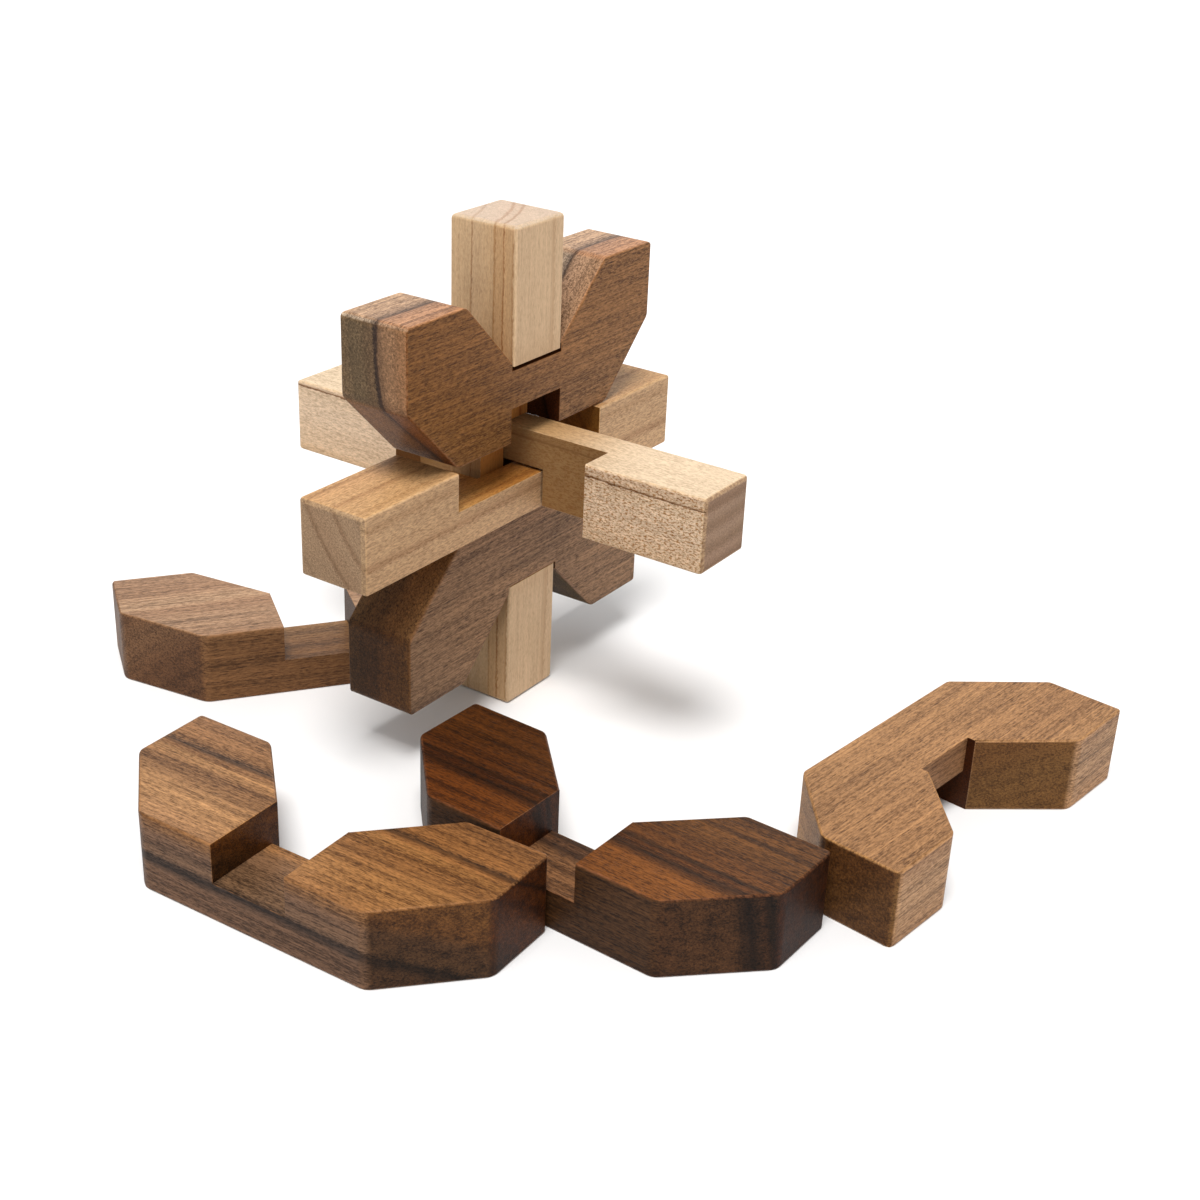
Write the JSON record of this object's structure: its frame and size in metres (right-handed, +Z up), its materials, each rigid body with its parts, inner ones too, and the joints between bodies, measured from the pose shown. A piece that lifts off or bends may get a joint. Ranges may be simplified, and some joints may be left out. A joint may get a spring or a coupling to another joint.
{
  "type": "wooden star puzzle",
  "caption": "Interlocking wooden star puzzle, part taken apart: crossed maple sticks hold walnut C-shaped plates at the centre, and more of the plates lie loose around it.",
  "frame": {"origin": "on the table, in the middle of the upright stick's foot", "axes": "+Z up along the upright stick, +X along the crosswise stick towards the picture's right front, +Y along the lengthwise stick towards its right back"},
  "size_m": [0.1891, 0.1419, 0.098],
  "materials": {
    "upright_stick": "satin",
    "crosswise_stick": "satin",
    "lengthwise_stick": "satin",
    "upper_plate": "satin",
    "lower_plate": "satin",
    "back_plate": "satin",
    "left_plate": "satin",
    "front_plate": "satin",
    "right_plate": "satin"
  },
  "bodies": {
    "upright_stick": {"upright_stick": "upright_stick"},
    "crosswise_stick": {"crosswise_stick": "crosswise_stick"},
    "lengthwise_stick": {"lengthwise_stick": "lengthwise_stick"},
    "upper_plate": {"upper_plate": "upper_plate"},
    "lower_plate": {"lower_plate": "lower_plate"},
    "back_plate": {"back_plate": "back_plate"},
    "left_plate": {"left_plate": "left_plate"},
    "front_plate": {"front_plate": "front_plate"},
    "right_plate": {"right_plate": "right_plate"}
  },
  "joints": [
    {"name": "cross_slide", "type": "slide", "parent": "upright_stick", "child": "crosswise_stick", "axis": [1, 0, 0], "range_m": [-0.0013, 0.0136]},
    {"name": "lengthwise_slide", "type": "slide", "parent": "crosswise_stick", "child": "lengthwise_stick", "axis": [0, 1, 0], "range_m": [-0.005, 0.0027]},
    {"name": "upper_plate_slide", "type": "slide", "parent": "upright_stick", "child": "upper_plate", "axis": [1, 0, 0], "range_m": [0, 0.0153]},
    {"name": "lower_plate_slide", "type": "slide", "parent": "upright_stick", "child": "lower_plate", "axis": [1, 0, 0], "range_m": [0, 0.0099]},
    {"name": "back_plate_lift", "type": "slide", "parent": "upright_stick", "child": "back_plate", "axis": [0, 0, 1], "range_m": [0, 0.025]},
    {"name": "left_plate_lift", "type": "slide", "parent": "upright_stick", "child": "left_plate", "axis": [0, 0, 1], "range_m": [0, 0.025]},
    {"name": "front_plate_lift", "type": "slide", "parent": "upright_stick", "child": "front_plate", "axis": [0, 0, 1], "range_m": [0, 0.025]},
    {"name": "right_plate_lift", "type": "slide", "parent": "upright_stick", "child": "right_plate", "axis": [0, 0, 1], "range_m": [0, 0.025]}
  ]
}
